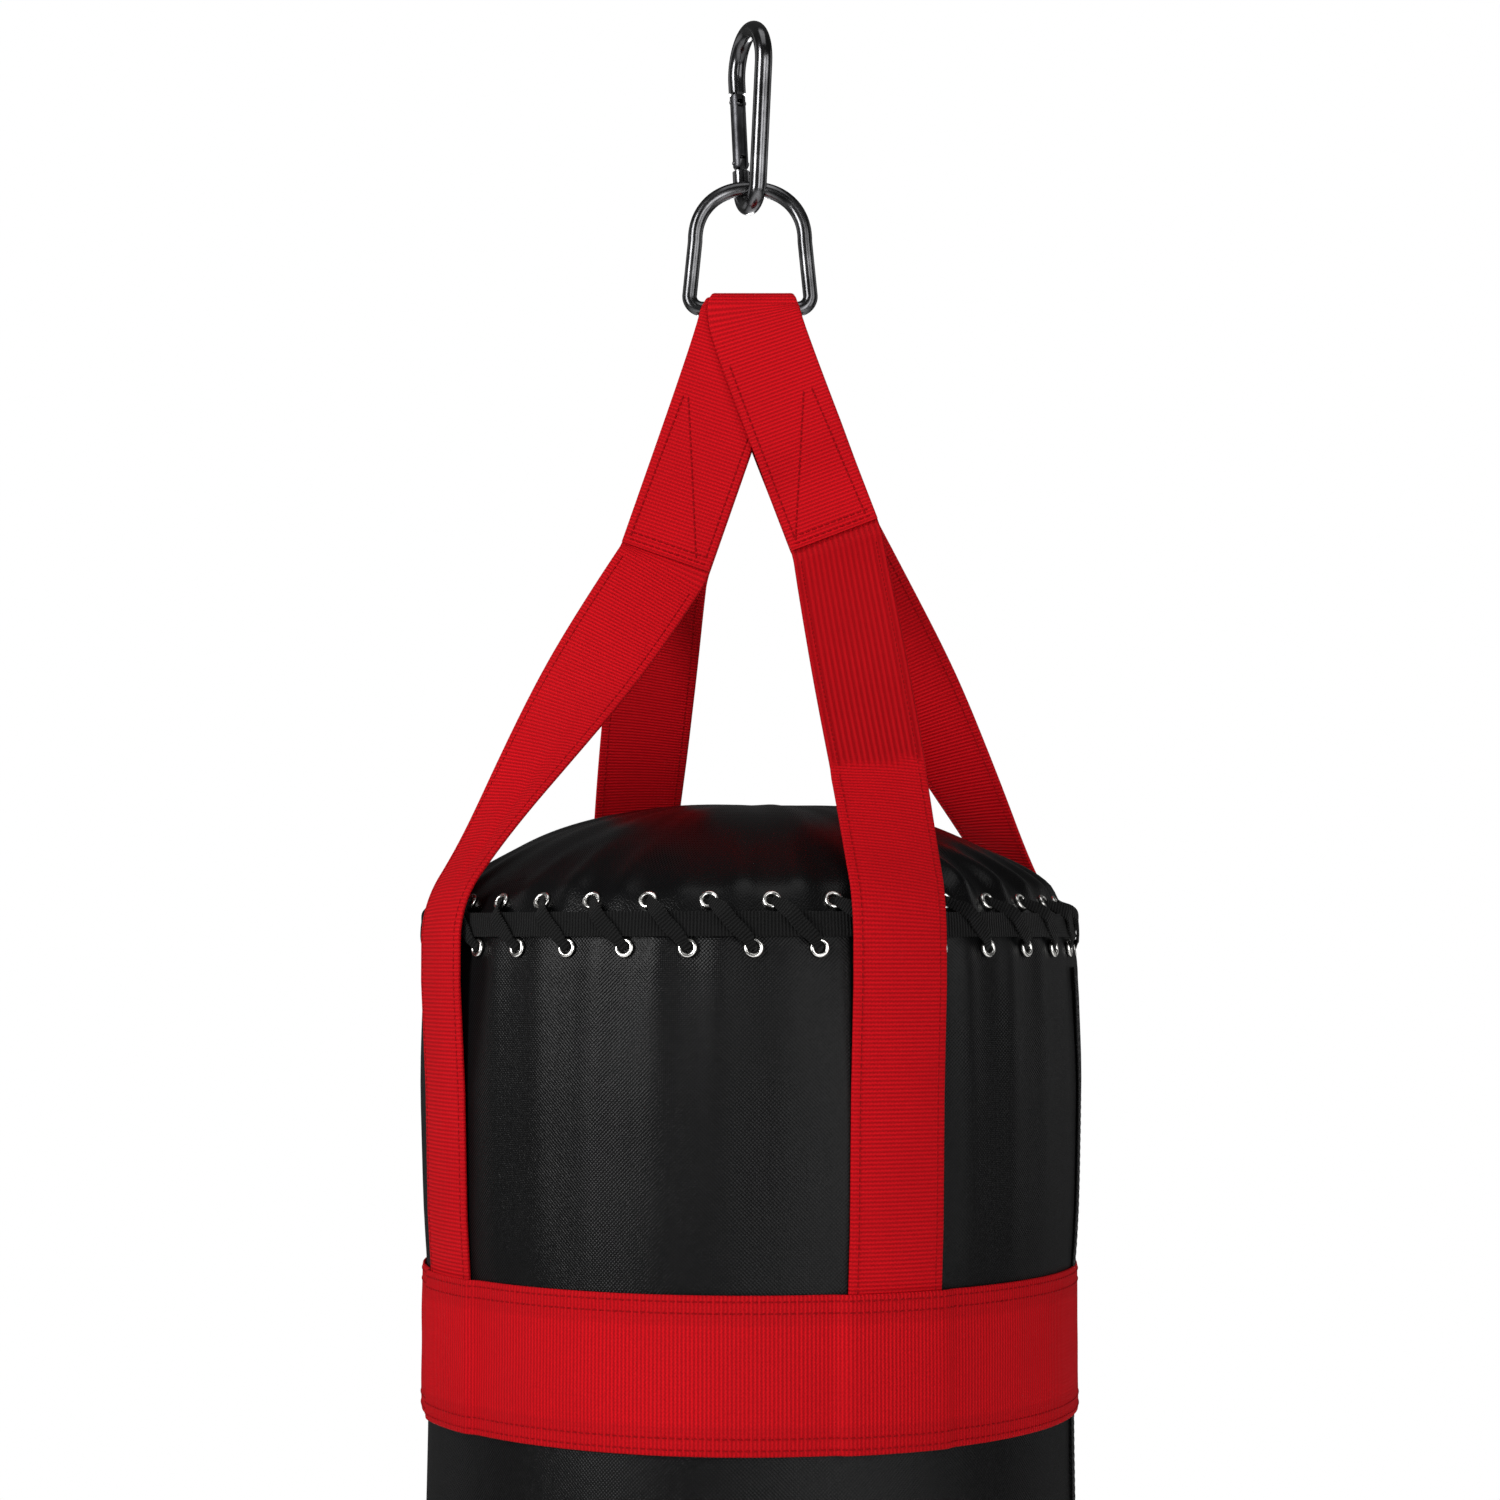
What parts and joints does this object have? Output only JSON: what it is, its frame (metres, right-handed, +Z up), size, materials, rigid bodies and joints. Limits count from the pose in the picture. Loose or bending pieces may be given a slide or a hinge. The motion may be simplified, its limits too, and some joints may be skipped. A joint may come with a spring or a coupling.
{
  "type": "heavy punching bag",
  "caption": "Filled cylindrical heavy bag with a laced domed cap, a webbing harness, a D-ring and a sprung carabiner to hang it by.",
  "frame": {"origin": "the inside top of the carabiner's wide bend, the point that the bag hangs from", "axes": "+Z up along the bag's axis; the front of the bag faces -Y; +X to the right of someone who faces the front"},
  "size_m": [0.3534, 0.3534, 1.6893],
  "materials": {
    "carabiner_steel": "polished, dark, lightly scratched",
    "gate_steel": "satin, dark",
    "ring_steel": "polished, dark, lightly scratched",
    "red_webbing": "ribbed woven polyester webbing with sewn edges",
    "black_vinyl": "satin coated vinyl with a fine embossed grain",
    "black_tape": "ribbed woven tape",
    "black_lace": "flat woven cord",
    "eyelet_nickel": "polished nickel plate",
    "foam": "open-cell foam",
    "shredded_textile": "packed textile shreds"
  },
  "bodies": {
    "carabiner": {"carabiner_frame": "carabiner_steel", "gate_hinge_pin": "carabiner_steel"},
    "gate": {"carabiner_gate": "gate_steel", "gate_latch_pin": "carabiner_steel", "gate_plunger": "carabiner_steel", "gate_spring": "carabiner_steel"},
    "ring": {"d_ring": "ring_steel"},
    "bag": {"left_hanger_loop": "red_webbing", "right_hanger_loop": "red_webbing", "front_right_strap": "red_webbing", "back_right_strap": "red_webbing", "back_left_strap": "red_webbing", "front_left_strap": "red_webbing", "belt": "red_webbing", "top_cap": "black_vinyl", "body_skin": "black_vinyl", "bottom_disc": "black_vinyl", "side_seam_strip": "black_vinyl", "hem_tape": "black_tape", "base_binding": "black_tape", "lace": "black_lace", "upper_eyelet_band": "eyelet_nickel", "lower_eyelet_band": "eyelet_nickel", "foam_liner": "foam", "top_pad": "foam", "bottom_pad": "foam", "textile_filling": "shredded_textile"}
  },
  "joints": [
    {"name": "gate_swing", "type": "hinge", "parent": "carabiner", "child": "gate", "pos_m": [-0.00511, 0.0133, -0.065], "axis": [0.9336, 0.3584, 0], "range_deg": [0, 22], "stiffness_Nm_per_rad": 0.15, "springref_deg": -17.19},
    {"name": "ring_swing", "type": "hinge", "parent": "carabiner", "child": "ring", "pos_m": [0, 0, -0.09175], "axis": [0, 1, 0], "range_deg": [-30, 30]},
    {"name": "bag_swing", "type": "hinge", "parent": "ring", "child": "bag", "pos_m": [0, 0, -0.1483], "axis": [1, 0, 0], "range_deg": [-40, 40]}
  ]
}
